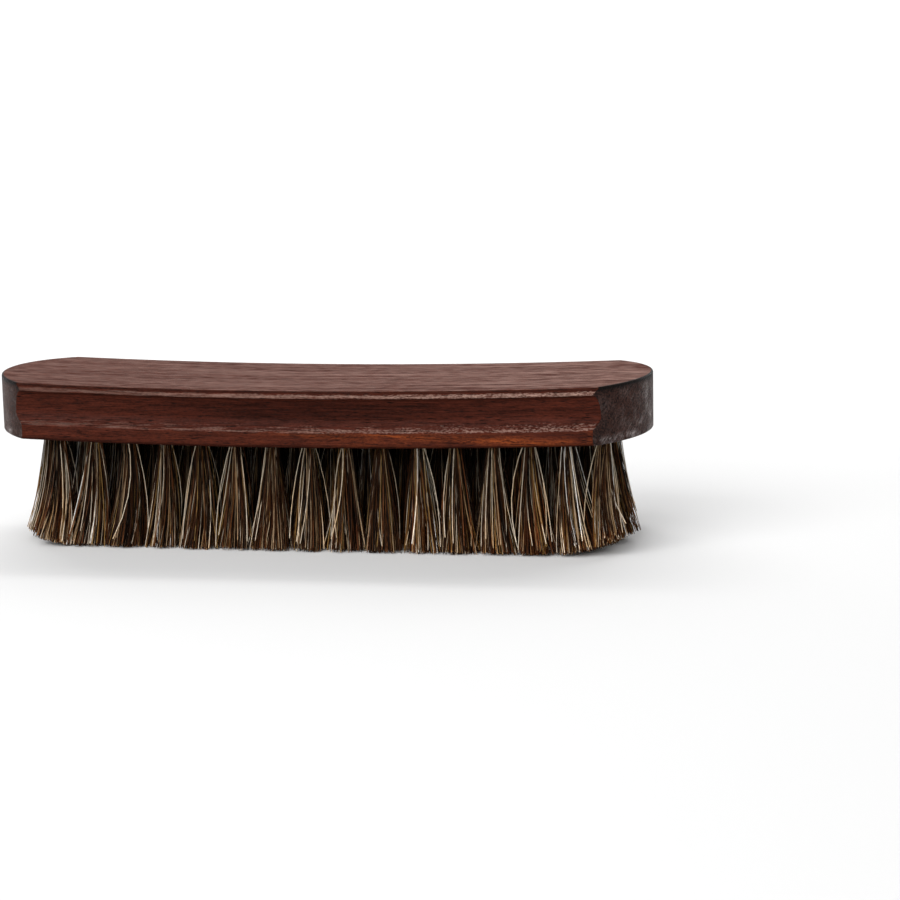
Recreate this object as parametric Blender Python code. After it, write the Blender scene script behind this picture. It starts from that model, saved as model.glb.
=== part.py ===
# A horsehair polishing brush: a bowed hardwood block, moulded along both sides and rounded at
# both ends, with five staggered rows of hair tufts set in its underside.
# Metres, +Z up. The origin is midway along and across the brush, at the tips of the hair.
# +X runs along the block and the hair points down.

import math

import bmesh
import bpy
from mathutils import Vector

# Block
BLOCK_LENGTH = 0.1712
BLOCK_WIDTH = 0.050
BLOCK_THICKNESS = 0.0145
END_ARC_RISE = 0.0121  # from the corner of the side to the middle of the rounded end
BOW_RISE = 0.0020  # the ends stand this much higher than the middle
END_CHAMFER = 0.0005  # round the top and bottom edges of both ends

# Moulding along the block's sides, measured up from the underside or in from the widest line
BOTTOM_EDGE_RADIUS = 0.0009
LIP_HEIGHT = 0.0042
COVE_FLOOR_HEIGHT = 0.0066
COVE_DEPTH = 0.0016
BEAD_HEIGHT = 0.0015  # sloping band between the sharp edge over the cove and the quirk
BEAD_INSET = 0.0013
QUIRK_HEIGHT = 0.0004  # small upright step just under the top face

# Tufts
ROWS = 5
TUFTS_IN_ROW = 16
END_MARGIN = 0.0123  # from the block's end to the nearest tuft's centre, before the shifts
FIELD_SHIFT = 0.0024  # the holes are drilled this far right of the middle,
ROW_DRIFT = 0.0006  # and each row this much further left than the one in front of it
SIDE_MARGIN = 0.0074  # from the block's side to the outer rows' centres
HOLE_RADIUS = 0.0022
HOLE_DEPTH = 0.0090
FIT_GAP = 0.0003  # between each tuft or row strip and the wood that holds it

# Strips of the block that carry the two rows whose tufts aren't separate
STRIP_WIDTH = 0.0066
STRIP_DEPTH = 0.0040
STRIP_END_WALL = 0.0022  # wood left in the strip past its last tuft

# Hair
HAIR_LENGTH = 0.0270  # from the underside of the block to the tips, at the middle
ROOT_SHOW = 0.0004  # the tied root stands this far out of its hole before it fans out
OUTER_FAN_RADIUS = 0.0038  # at the tips, of every other strand in a tuft
INNER_FAN_RADIUS = 0.0017
END_SPREAD = 0.0012  # how far the last tufts lean outwards along the block
SIDE_SPREAD = 0.0020  # how far the outer rows lean outwards
TIP_BOW = 0.0012  # the tips follow the bow less than the block does
TIP_FLAT_CUT = 0.0005  # depth of the flat that the brush stands on
END_TRIM_RADIUS = 0.0035
SIDE_TRIM_RADIUS = 0.0030

STRANDS = 6
MID_HEIGHT_SHARE = 0.45
MID_FAN_SHARE = 0.36
MID_WIDTH_SHARE = 0.78
TIP_WIDTH_SHARE = 0.74

# Facets
END_ARC_STEPS = 14
COVE_STEPS = 4
EDGE_STEPS = 2
BOW_STEPS = 17  # odd, so that the middle facet is level
HOLE_SIDES = 12

OVERRUN = 0.0010  # how far a cutter runs past what it cuts
MERGE = 0.000001

HALF_LENGTH = BLOCK_LENGTH / 2
HALF_WIDTH = BLOCK_WIDTH / 2
BOW_RADIUS = (HALF_LENGTH**2 + BOW_RISE**2) / (2 * BOW_RISE)
END_RADIUS = (HALF_WIDTH**2 + END_ARC_RISE**2) / (2 * END_ARC_RISE)
PITCH = (BLOCK_LENGTH - 2 * END_MARGIN) / (TUFTS_IN_ROW - 1 / 2)
ROW_SPACING = (BLOCK_WIDTH - 2 * SIDE_MARGIN) / (ROWS - 1)
ROOT_RADIUS = HOLE_RADIUS - FIT_GAP

ROW_NAMES = ("front", "second", "middle", "fourth", "back")
STRIP_ROWS = (1, 3)


def clear_scene():
    for item in list(bpy.data.objects):
        bpy.data.objects.remove(item, do_unlink=True)


def new_collection(name):
    made = bpy.data.collections.new(name)
    bpy.context.scene.collection.children.link(made)
    return made


def new_material(name, color, roughness):
    made = bpy.data.materials.new(name)
    made.use_nodes = True
    shader = made.node_tree.nodes["Principled BSDF"]
    shader.inputs["Base Color"].default_value = (*color, 1)
    shader.inputs["Roughness"].default_value = roughness
    shader.inputs["Metallic"].default_value = 0
    made.diffuse_color = (*color, 1)
    return made


def new_object(name, mesh, collection, material=None):
    made = bpy.data.objects.new(name, mesh)
    collection.objects.link(made)
    if material:
        mesh.materials.clear()
        mesh.materials.append(material)
    if collection is cutters:
        made.hide_render = True
        made.display_type = "WIRE"
    return made


def mesh_of(bm, name):
    mesh = bpy.data.meshes.new(name)
    bm.to_mesh(mesh)
    bm.free()
    return mesh


def evaluated_mesh(item):
    bpy.context.view_layer.update()
    return bpy.data.meshes.new_from_object(item.evaluated_get(bpy.context.evaluated_depsgraph_get()))


def cut(item, cutter, operation):
    boolean = item.modifiers.new(operation.lower() + "_" + cutter.name, "BOOLEAN")
    boolean.operation = operation
    boolean.object = cutter
    boolean.solver = "EXACT"


def smooth(mesh, angle):
    mesh.shade_smooth()
    mesh.set_sharp_from_angle(angle=angle)


# Flat outlines, as filled 2D curves


def plate(name, outline, half_depth, chamfer=0.0):
    """A closed outline given a thickness, as a mesh whose caps are welded to its sides."""
    curve = bpy.data.curves.new(name, "CURVE")
    curve.dimensions = "2D"
    curve.fill_mode = "BOTH"
    curve.extrude = half_depth - chamfer
    curve.bevel_depth = chamfer
    curve.bevel_resolution = 0
    curve.offset = -chamfer
    spline = curve.splines.new("POLY")
    spline.points.add(len(outline) - 1)
    for point, (across, up) in zip(spline.points, outline):
        point.co = (across, up, 0, 1)
    spline.use_cyclic_u = True
    item = new_object(name, curve, cutters)
    mesh = evaluated_mesh(item)
    bpy.data.objects.remove(item)
    bm = bmesh.new()
    bm.from_mesh(mesh)
    bmesh.ops.remove_doubles(bm, verts=bm.verts, dist=MERGE)
    bmesh.ops.recalc_face_normals(bm, faces=bm.faces)
    return mesh_of(bm, name)


def end_arc_points():
    """The right end's arc, from front to back, run on past the sides."""
    reach = math.asin((HALF_WIDTH + OVERRUN) / END_RADIUS)
    centre = HALF_LENGTH - END_RADIUS
    turns = [reach * (2 * step / END_ARC_STEPS - 1) for step in range(END_ARC_STEPS + 1)]
    return [(centre + END_RADIUS * math.cos(turn), END_RADIUS * math.sin(turn)) for turn in turns]


def plan_outline():
    right = end_arc_points()
    left = [(-x, -y) for x, y in right]
    return right + left


def side_profile():
    """The moulding on the +Y side, from below the underside to above the top face, as (y, z)."""
    edge_y = HALF_WIDTH - BOTTOM_EDGE_RADIUS
    points = [(edge_y, -OVERRUN)]
    for step in range(EDGE_STEPS + 1):
        turn = math.pi / 2 * step / EDGE_STEPS
        rise = BOTTOM_EDGE_RADIUS * (1 - math.cos(turn))
        points.append((edge_y + BOTTOM_EDGE_RADIUS * math.sin(turn), rise))
    points.append((HALF_WIDTH, LIP_HEIGHT))
    sharp_edge = BLOCK_THICKNESS - QUIRK_HEIGHT - BEAD_HEIGHT
    for step in range(COVE_STEPS + 1):
        turn = math.pi / 2 * step / COVE_STEPS
        y = HALF_WIDTH - COVE_DEPTH * math.cos(turn)
        points.append((y, COVE_FLOOR_HEIGHT + (sharp_edge - COVE_FLOOR_HEIGHT) * math.sin(turn)))
    top_y = HALF_WIDTH - BEAD_INSET
    points.append((top_y, BLOCK_THICKNESS - QUIRK_HEIGHT))
    points.append((top_y, BLOCK_THICKNESS + OVERRUN))
    return points


def moulding_outline():
    right = side_profile()
    return right + [(-y, z) for y, z in reversed(right)]


# Block


def bow_lift(x):
    return BOW_RADIUS - math.sqrt(BOW_RADIUS**2 - x**2)


def underside(x):
    return HAIR_LENGTH + bow_lift(x)


def bow(mesh):
    """Cuts the straight block at even steps along its length and lifts it to the bow."""
    bm = bmesh.new()
    bm.from_mesh(mesh)
    for step in range(1, BOW_STEPS):
        station = Vector(((2 * step / BOW_STEPS - 1) * HALF_LENGTH, 0, 0))
        everything = bm.verts[:] + bm.edges[:] + bm.faces[:]
        bmesh.ops.bisect_plane(bm, geom=everything, dist=MERGE, plane_co=station, plane_no=(1, 0, 0))
    bmesh.ops.triangulate(bm, faces=bm.faces)
    for vert in bm.verts:
        vert.co.z += underside(vert.co.x)
    bm.to_mesh(mesh)
    bm.free()


def block_blank():
    """The block before its holes: side mouldings met with the plan outline, then bowed."""
    bar = new_object("moulding_bar", plate("moulding_bar", moulding_outline(), HALF_LENGTH + OVERRUN), cutters)
    bar.rotation_euler = (math.pi / 2, 0, math.pi / 2)
    half_thickness = BLOCK_THICKNESS / 2
    mesh = plate("plan_plate", plan_outline(), half_thickness, END_CHAMFER)
    blank = new_object("block_blank", mesh, cutters)
    blank.location.z = half_thickness
    cut(blank, bar, "INTERSECT")
    mesh = evaluated_mesh(blank)
    mesh.transform(blank.matrix_world)
    bpy.data.objects.remove(blank)
    bow(mesh)
    return mesh


def tuft_places(row):
    """Where the row's tufts leave the block: every other row stands half a pitch to the left."""
    stagger = PITCH / 4 if row % 2 == 0 else -PITCH / 4
    shift = FIELD_SHIFT + stagger - ROW_DRIFT * row
    y = (row - (ROWS - 1) / 2) * ROW_SPACING
    middle = (TUFTS_IN_ROW - 1) / 2
    return [((column - middle) * PITCH + shift, y) for column in range(TUFTS_IN_ROW)]


def hole_cutter(rows):
    bm = bmesh.new()
    for row in rows:
        for x, y in tuft_places(row):
            made = bmesh.ops.create_cone(
                bm,
                cap_ends=True,
                segments=HOLE_SIDES,
                radius1=HOLE_RADIUS,
                radius2=HOLE_RADIUS,
                depth=HOLE_DEPTH + OVERRUN,
            )
            middle = underside(x) + (HOLE_DEPTH - OVERRUN) / 2
            bmesh.ops.translate(bm, verts=made["verts"], vec=(x, y, middle))
    return new_object("tuft_holes", mesh_of(bm, "tuft_holes"), cutters)


def strip_box(name, row, clearance):
    """The box that a row's strip fills, or with no clearance the slot that takes it."""
    places = tuft_places(row)
    past = HOLE_RADIUS + STRIP_END_WALL - clearance
    first, last = places[0][0] - past, places[-1][0] + past
    width = STRIP_WIDTH - 2 * clearance
    low = HAIR_LENGTH - OVERRUN
    high = HAIR_LENGTH + STRIP_DEPTH + BOW_RISE - clearance
    bm = bmesh.new()
    made = bmesh.ops.create_cube(bm, size=1)
    bmesh.ops.scale(bm, verts=made["verts"], vec=(last - first, width, high - low))
    centre = ((first + last) / 2, places[0][1], (low + high) / 2)
    bmesh.ops.translate(bm, verts=made["verts"], vec=centre)
    return new_object(name, mesh_of(bm, name), cutters)


def make_block(blank_mesh):
    smooth(blank_mesh, math.radians(30))
    block = new_object("block", blank_mesh, parts, wood)
    drilled_rows = [row for row in range(ROWS) if row not in STRIP_ROWS]
    cut(block, hole_cutter(drilled_rows), "DIFFERENCE")
    for row in STRIP_ROWS:
        cut(block, strip_box(ROW_NAMES[row] + "_slot", row, 0.0), "DIFFERENCE")


# Hair


def edge_rise(inside, radius):
    """How much shorter the hair is trimmed this far inside the edge of the field."""
    if inside >= radius:
        return 0.0
    outside = min(radius - inside, radius)
    return radius - math.sqrt(radius**2 - outside**2)


def tip_height(x, y):
    """The trimmed surface of the hair: bowed, rounded at its edges, cut flat where it stands."""
    field_x = HALF_LENGTH - END_MARGIN + END_SPREAD + OUTER_FAN_RADIUS
    field_y = HALF_WIDTH - SIDE_MARGIN + SIDE_SPREAD + OUTER_FAN_RADIUS
    bowed = TIP_BOW * (x / HALF_LENGTH) ** 2
    end_rise = edge_rise(field_x - abs(x - FIELD_SHIFT), END_TRIM_RADIUS)
    side_rise = edge_rise(field_y - abs(y), SIDE_TRIM_RADIUS)
    return max(0.0, bowed + end_rise + side_rise - TIP_FLAT_CUT)


def tip_centre(x, y):
    """Where a tuft's tips centre: all tufts lean outwards in step, so none cross."""
    lean_x = END_SPREAD / (HALF_LENGTH - END_MARGIN)
    lean_y = SIDE_SPREAD / (HALF_WIDTH - SIDE_MARGIN)
    return Vector((x * (1 + lean_x), y * (1 + lean_y), 0))


def grow_strand(bm, face, root, fan_radius):
    """Draws one sector of the root down into a strand, in two lengths, each thinner than the last."""
    out = face.calc_center_median() - root
    out.z = 0
    tip = tip_centre(root.x, root.y) + out.normalized() * fan_radius
    width_share = 1.0
    for height_share, fan_share, next_width_share in (
        (MID_HEIGHT_SHARE, MID_FAN_SHARE, MID_WIDTH_SHARE),
        (1.0, 1.0, TIP_WIDTH_SHARE),
    ):
        face = bmesh.ops.extrude_discrete_faces(bm, faces=[face])["faces"][0]
        middle = face.calc_center_median()
        start = root + out
        place = start.lerp(tip, fan_share)
        for vert in face.verts:
            corner = (vert.co - middle) * (next_width_share / width_share)
            x, y = place.x + corner.x, place.y + corner.y
            z = root.z + (tip_height(x, y) - root.z) * height_share
            vert.co = (x, y, z)
        width_share = next_width_share


def turn_about(root, point):
    return math.atan2(point.y - root.y, point.x - root.x)


def add_tuft(bm, x, y, root_top):
    """One tuft: a six-sided root, whose lower end opens into a strand from each sector."""
    root = Vector((x, y, underside(x) - ROOT_SHOW))
    made = bmesh.ops.create_cone(
        bm,
        cap_ends=True,
        cap_tris=True,
        segments=STRANDS,
        radius1=ROOT_RADIUS,
        radius2=ROOT_RADIUS,
        depth=root_top - root.z,
    )
    bmesh.ops.translate(bm, verts=made["verts"], vec=(x, y, (root_top + root.z) / 2))
    bm.normal_update()
    faces = {face for vert in made["verts"] for face in vert.link_faces}
    sectors = [face for face in faces if face.normal.z < -1 / 2]
    sectors.sort(key=lambda face: turn_about(root, face.calc_center_median()))
    for number, face in enumerate(sectors):
        fan_radius = OUTER_FAN_RADIUS if number % 2 == 0 else INNER_FAN_RADIUS
        grow_strand(bm, face, root, fan_radius)


def make_drilled_row(row):
    """A row of separate tufts, each seated in its own hole."""
    for number, (x, y) in enumerate(tuft_places(row), start=1):
        name = f"{ROW_NAMES[row]}_tuft_{number:02d}"
        bm = bmesh.new()
        add_tuft(bm, x, y, underside(x) + HOLE_DEPTH - FIT_GAP)
        new_object(name, mesh_of(bm, name), parts, hair)


def make_strip_row(row, blank_mesh):
    """A row of tufts fused to the slice of the block's underside that carries them."""
    name = ROW_NAMES[row] + "_row"
    bm = bmesh.new()
    for x, y in tuft_places(row):
        add_tuft(bm, x, y, underside(x) + STRIP_DEPTH / 2)
    tufts = new_object(name + "_tufts", mesh_of(bm, name + "_tufts"), cutters)
    strip = new_object(name, blank_mesh, parts, hair)
    cut(strip, strip_box(name + "_slice", row, FIT_GAP), "INTERSECT")
    cut(strip, tufts, "UNION")


clear_scene()
parts = new_collection("horsehair_brush")
cutters = new_collection("cutters")
wood = new_material("stained_beech", (0.085, 0.022, 0.010), 0.38)
hair = new_material("horsehair", (0.120, 0.075, 0.040), 0.55)

blank = block_blank()
make_block(blank.copy())
for each_row in range(ROWS):
    if each_row in STRIP_ROWS:
        make_strip_row(each_row, blank.copy())
    else:
        make_drilled_row(each_row)
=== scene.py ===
# A horsehair polishing brush, seen a little from above and from its right.
# Metres throughout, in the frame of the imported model: +X along the block, hair tips at z = 0.

import math
from functools import partial

import bmesh
import bpy
from mathutils import Matrix, Vector


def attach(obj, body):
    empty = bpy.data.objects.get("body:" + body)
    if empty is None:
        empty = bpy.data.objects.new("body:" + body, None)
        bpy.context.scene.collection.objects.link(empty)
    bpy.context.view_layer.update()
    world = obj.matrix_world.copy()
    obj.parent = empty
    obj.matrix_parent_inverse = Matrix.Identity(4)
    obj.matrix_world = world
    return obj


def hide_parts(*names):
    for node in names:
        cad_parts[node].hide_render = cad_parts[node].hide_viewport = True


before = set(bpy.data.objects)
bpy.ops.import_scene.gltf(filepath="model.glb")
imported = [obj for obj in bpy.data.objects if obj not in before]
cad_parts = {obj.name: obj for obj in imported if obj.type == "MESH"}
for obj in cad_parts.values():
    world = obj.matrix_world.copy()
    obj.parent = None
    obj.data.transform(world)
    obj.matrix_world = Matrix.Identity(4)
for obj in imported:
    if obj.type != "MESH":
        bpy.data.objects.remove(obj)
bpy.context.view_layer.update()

print("frame loaded:", len(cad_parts), "parts")


# Small helpers


def srgb(code):
    channels = [int(code[i : i + 2], 16) / 255 for i in (0, 2, 4)]
    linear = [c / 12.92 if c <= 0.04045 else ((c + 0.055) / 1.055) ** 2.4 for c in channels]
    return (*linear, 1.0)


def addNode(tree, kind, inputs=None, stops=None, **settings):
    # inputs: socket name or number -> a value, a socket, or a node whose first output is meant
    node = tree.nodes.new(kind)
    for name, value in settings.items():
        setattr(node, name, value)
    if stops:
        ramp = node.color_ramp
        while len(ramp.elements) < len(stops):
            ramp.elements.new(1.0)
        for element, (place, color) in zip(ramp.elements, stops):
            element.position = place
            element.color = color if isinstance(color, tuple) else (color, color, color, 1.0)
    for name, value in (inputs or {}).items():
        if isinstance(name, int):
            socket = node.inputs[name]
        else:
            socket = next(s for s in node.inputs if s.enabled and s.name == name)
        if isinstance(value, bpy.types.Node):
            value = next(s for s in value.outputs if s.enabled)
        if isinstance(value, bpy.types.NodeSocket):
            tree.links.new(value, socket)
        else:
            socket.default_value = value
    return node


def newMaterial(name):
    made = bpy.data.materials.new(name)
    made.use_nodes = True
    return made, made.node_tree, made.node_tree.nodes["Principled BSDF"]


def newObject(name, data):
    made = bpy.data.objects.new(name, data)
    bpy.context.scene.collection.objects.link(made)
    return made


def settleModifiers(item):
    # the evaluated shape becomes the object's own plain mesh
    bpy.context.view_layer.update()
    shaped = bpy.data.meshes.new_from_object(item.evaluated_get(bpy.context.evaluated_depsgraph_get()))
    shaped.name = item.name
    item.modifiers.clear()
    item.data = shaped


# Block

blockShape = {
    "length": 0.1712,
    "width": 0.050,
    "thickness": 0.0145,
    "undersideHeight": 0.0270,
    "bowRise": 0.0020,
    "endArcRise": 0.0121,  # from the side's corner to the middle of the rounded end
    "endEdgeRadius": 0.0005,  # where the sanded ends meet the top and the underside
    "bottomEdgeRadius": 0.0009,
    "bandFullness": 0.00004,  # the lower band is a hair's breadth full
    "lipHeight": 0.0042,
    "lipRadius": 0.0003,
    "lipTurn": 50,  # how far round it is eased, in degrees
    "lipTop": (0.0011, 0.0055),  # inset and height where the lip's slope meets the cove
    "coveFloorHeight": 0.0066,
    "coveDepth": 0.0016,
    "beadStart": 0.0126,  # height of the sharp edge between the cove and the bead
    "beadEnd": 0.0141,
    "beadInset": 0.0013,
    "beadFullness": 0.45,  # 0 for a flat chamfer, 1 for a full quarter round
    "topEdgeRadius": 0.00022,
    "ridgeRadius": 0.0003,  # of the upright corners at the sanded ends and the bead's sharp edge
    "ridgeAngle": 29,  # in degrees: an edge that turns by more than this is eased so
    "ridgeSteps": 3,
    "smoothAngle": 38,  # and one that turns by less than this is shaded smooth
    "edgeSteps": (5, 3, 4),  # of the rounded bottom edge, lip and top edge
    "coveSteps": 12,
    "beadSteps": 6,
    "endSteps": 32,
    "sideSteps": 36,
}

tuftPlan = {
    "rows": 5,
    "tuftsInRow": 16,
    "endMargin": 0.0123,
    "sideMargin": 0.0074,
    "fieldShift": 0.0024,  # the holes are drilled this far right of the middle,
    "rowDrift": 0.0006,  # and each row this much further left than the one in front of it
    "holeRadius": 0.0022,
    "holeDepth": 0.0090,
    "holeSides": 20,
    "drillStart": 0.001,  # the drill reaches this far below the underside
}

halfLength = blockShape["length"] / 2
halfWidth = blockShape["width"] / 2
bowRadius = (halfLength**2 + blockShape["bowRise"] ** 2) / (2 * blockShape["bowRise"])
endRadius = (halfWidth**2 + blockShape["endArcRise"] ** 2) / (2 * blockShape["endArcRise"])


def undersideAt(x):
    return blockShape["undersideHeight"] + bowRadius - math.sqrt(bowRadius**2 - x**2)


def arcPoints(across, up, radius, first, last, steps):
    turns = [math.radians(first + (last - first) * step / steps) for step in range(steps + 1)]
    return [(across + radius * math.cos(turn), up + radius * math.sin(turn)) for turn in turns]


def sideProfile():
    # (half width, height over the underside) from the bottom edge up to the top face
    b = blockShape
    bottom, lip, top = b["bottomEdgeRadius"], b["lipRadius"], b["topEdgeRadius"]
    bottomSteps, lipSteps, topSteps = b["edgeSteps"]
    points = arcPoints(halfWidth - bottom, bottom, bottom, -90, 0, bottomSteps)
    points.append((halfWidth + b["bandFullness"], b["lipHeight"] / 2))
    points += arcPoints(halfWidth - lip, b["lipHeight"] - lip, lip, 0, b["lipTurn"], lipSteps)
    points.append((halfWidth - b["lipTop"][0], b["lipTop"][1]))
    rise = b["beadStart"] - b["coveFloorHeight"]
    for step in range(b["coveSteps"] + 1):
        turn = math.radians(90 * step / b["coveSteps"])
        height = b["coveFloorHeight"] + rise * math.sin(turn)
        points.append((halfWidth - b["coveDepth"] * math.cos(turn), height))
    full = b["beadFullness"]
    for step in range(1, b["beadSteps"] + 1):
        share = step / b["beadSteps"]
        turn = math.radians(90 * share)
        inwards = full * (1 - math.cos(turn)) + (1 - full) * share
        upwards = full * math.sin(turn) + (1 - full) * share
        height = b["beadStart"] + (b["beadEnd"] - b["beadStart"]) * upwards
        points.append((halfWidth - b["beadInset"] * inwards, height))
    return points + arcPoints(halfWidth - b["beadInset"] - top, b["thickness"] - top, top, 0, 90, topSteps)


def ringAt(levelHalfWidth, height):
    # one closed line round the block: right end, back side, left end, front side
    edge = blockShape["endEdgeRadius"]
    over = min(edge, max(0.0, edge - height, height - (blockShape["thickness"] - edge)))
    radius = endRadius - (edge - math.sqrt(edge**2 - over**2))
    reach = math.asin(levelHalfWidth / radius)
    centre = halfLength - endRadius
    steps = blockShape["endSteps"]
    turns = [reach * (2 * step / steps - 1) for step in range(steps + 1)]
    right = [(centre + radius * math.cos(turn), radius * math.sin(turn)) for turn in turns]
    corner = right[-1][0]
    sideSteps = blockShape["sideSteps"]
    back = [(corner * (1 - 2 * step / sideSteps), levelHalfWidth) for step in range(1, sideSteps)]
    halfRing = right + back
    return [(x, y, height) for x, y in halfRing + [(-x, -y) for x, y in halfRing]]


def blockMesh():
    rings = [ringAt(*point) for point in sideProfile()]
    bm = bmesh.new()
    rows = [[bm.verts.new(place) for place in ring] for ring in rings]
    count, endSteps = len(rows[0]), blockShape["endSteps"]
    for lower, upper in zip(rows, rows[1:]):
        for i in range(count):
            j = (i + 1) % count
            face = bm.faces.new((lower[i], lower[j], upper[j], upper[i]))
            face.material_index = 1 if i % (count // 2) < endSteps else 0
    # caps: the front half of each ring is joined across to the back half at the same x
    tip = endSteps // 2
    front = [(tip - i) % count for i in range(count // 2 + 1)]
    back = [(tip + i) % count for i in range(count // 2 + 1)]
    for row in (rows[0], rows[-1]):
        for i in range(count // 2):
            corners = [row[front[i]], row[front[i + 1]], row[back[i + 1]], row[back[i]]]
            bm.faces.new(dict.fromkeys(corners))
    bmesh.ops.recalc_face_normals(bm, faces=bm.faces)
    for vert in bm.verts:
        vert.co.z += undersideAt(vert.co.x)
    mesh = bpy.data.meshes.new("mouldedBlock")
    bm.to_mesh(mesh)
    bm.free()
    return mesh


def tuftPlaces(row):
    # every other row stands half a pitch to the left
    count = tuftPlan["tuftsInRow"]
    pitch = (blockShape["length"] - 2 * tuftPlan["endMargin"]) / (count - 0.5)
    stagger = pitch / 4 if row % 2 == 0 else -pitch / 4
    shift = tuftPlan["fieldShift"] + stagger - tuftPlan["rowDrift"] * row
    spacing = (blockShape["width"] - 2 * tuftPlan["sideMargin"]) / (tuftPlan["rows"] - 1)
    y = (row - (tuftPlan["rows"] - 1) / 2) * spacing
    xs = [(column - (count - 1) / 2) * pitch + shift for column in range(count)]
    return [Vector((x, y, undersideAt(x))) for x in xs]


def drillMesh():
    bm = bmesh.new()
    radius, sides, start = tuftPlan["holeRadius"], tuftPlan["holeSides"], tuftPlan["drillStart"]
    depth = tuftPlan["holeDepth"] + start
    for row in range(tuftPlan["rows"]):
        for place in tuftPlaces(row):
            lift = Matrix.Translation(place + Vector((0, 0, depth / 2 - start)))
            bmesh.ops.create_cone(
                bm, cap_ends=True, segments=sides, radius1=radius, radius2=radius, depth=depth, matrix=lift
            )
    mesh = bpy.data.meshes.new("tuftDrill")
    bm.to_mesh(mesh)
    bm.free()
    return mesh


lacquerLook = {
    "stain": "7f3c2b",
    "deepStain": "2b120c",
    "thinStain": "bd5c2c",  # orange, where the stain went on thin
    "poreStain": "170906",
    "rubbed": "9a7c70",  # painted highlight along the arrises, pale and greyish
    "worn": "94746a",  # painted sheen in streaks along the grain of the top
    "pith": (0.0, 0.110, -0.030),  # middle of the tree's rings, far off behind the block,
    "pithTurn": (0.0, 0.010, 0.012),  # and how it slants to the block, in radians
    "ringSpacing": 0.0026,
    "ringWaver": 0.0016,
    "ringWaverSize": (0.11, 0.018, 0.018),
    "ringTones": [(0.0, 0.35), (0.25, 0.8), (0.7, 0.6), (0.95, 0.1)],  # across one year's growth
    # length and width of the pattern's grains, its detail, and where it turns from dark to light
    "patterns": {
        "streaks": (0.090, 0.0030, 3.0, (0.34, 0.66)),
        "fibres": (0.020, 0.0005, 4.0, (0.34, 0.66)),
        "dashes": (0.0070, 0.00040, 4.0, (0.38, 0.62)),
        "blotches": (0.020, 0.0060, 3.0, (0.36, 0.62)),
        "pores": (0.0026, 0.00024, 1.0, (0.60, 0.72)),  # real ones are half as wide, too fine to show
        "wornStreaks": (0.100, 0.0036, 3.0, (0.38, 0.62)),
        "wornLines": (0.034, 0.0013, 4.0, (0.37, 0.63)),
        "wornFlecks": (0.0046, 0.0013, 4.0, (0.39, 0.61)),
        "flecks": (0.0065, 0.00045, 4.0, (0.36, 0.64)),
        "specks": (0.0008, 0.00030, 2.0, (0.40, 0.60)),
    },
    # patterns that are laid over the rings, and over the streaks of painted sheen, and how much each one
    # covers
    "grainLayers": {"streaks": 0.6, "fibres": 0.5, "dashes": 0.5, "specks": 0.2},
    "paintedSheenLayers": {"wornLines": 0.6, "wornFlecks": 0.4},
    "paintedSheenFrom": 0.15,  # the tone of that pattern at which the painted sheen begins to show
    # what grows from left to right: between which places, and from and to what share; the painted highlight
    # and the painted sheen grow brighter to the right, as the light falls there
    "growth": {
        "thinning": (-0.020, 0.035, 0.25, 0.90),  # how thin the stain is on the lower band
        "crispness": (-0.057, 0.055, 0.10, 0.60),  # how short and sharp the flecks of painted highlight are
        "rubbed": (-0.057, 0.055, 0.32, 1.00),
        "worn": (-0.057, 0.055, 0.62, 1.00),
    },
    "thinSlant": 3.1,  # the thin streak climbs to the left by this share of the height per metre,
    "thinLowest": 0.056,  # as the straight grain does, and meets the bottom edge here
    "thinSpeckle": 0.45,  # how fine its grain is, and how strong
    "thinContrast": 1.5,
    "bareStreak": (0.0265, 0.122, 0.0130, 0.028),  # its barest part: middle and half reach, along and up,
    "bareFade": (1.2, 0.3),  # and where that begins and is complete, in shares of the reach
    "covePaleFrom": 0.012,  # the cove is darkest within this distance of the middle, and grows paler out to the next
    "covePaleTo": 0.050,
    "covePaleShare": 0.7,
    "highlightFrom": 1.0,  # sum of fleck pattern and highlight place at which the painted highlight begins to show, and where it is full
    "highlightTo": 1.85,
    "roughness": (0.46, 0.36),  # between the fibres and on them
    "relief": (0.6, 0.00012),  # strength and depth
    "specular": 0.05,
    # painted shade by shares of the block's height, from the underside up: how much of the stain's colour
    # is kept, darkest in the cove, in the line under the top edge and at the rounded bottom edge
    "shadeByHeight": [
        (0.0, 0.22), (0.05, 0.34), (0.10, 0.50), (0.15, 0.50), (0.20, 0.40), (0.245, 0.42), (0.27, 0.50),
        (0.30, 0.50), (0.36, 0.44), (0.43, 0.42), (0.50, 0.30), (0.58, 0.24), (0.74, 0.29), (0.82, 0.34),
        (0.862, 0.34), (0.878, 0.40), (0.945, 0.42), (0.958, 0.29), (0.984, 0.24), (0.994, 0.55),
    ],
    "thinPlaces": [
        (0.0, 0.2), (0.04, 1.0), (0.24, 1.0), (0.27, 0.4), (0.31, 0.0),
        (0.95, 0.0), (0.965, 0.25), (0.984, 0.25), (0.992, 0.0),
    ],
    "thinStreak": [(0.0, 0.3), (0.06, 0.8), (0.11, 1.0), (0.16, 0.75), (0.23, 0.25), (0.35, 0.5)],
    "pool": [(0.44, 0.0), (0.50, 1.0), (0.74, 1.0), (0.84, 0.0)],
    # painted highlights along the lip's sharp edge and the bead's sharp edge, by shares of the height
    "highlightPlaces": [
        (0.258, 0.0), (0.275, 0.60), (0.29, 0.83), (0.305, 0.70), (0.335, 0.53), (0.38, 0.34), (0.44, 0.0),
        (0.858, 0.0), (0.868, 0.64), (0.882, 0.95), (0.90, 1.02), (0.92, 0.94), (0.938, 0.60), (0.952, 0.0),
    ],
    # painted sheen on the top face only, by shares of the height
    "paintedSheenPlaces": [(0.988, 0.0), (0.995, 1.0)],
}

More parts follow.
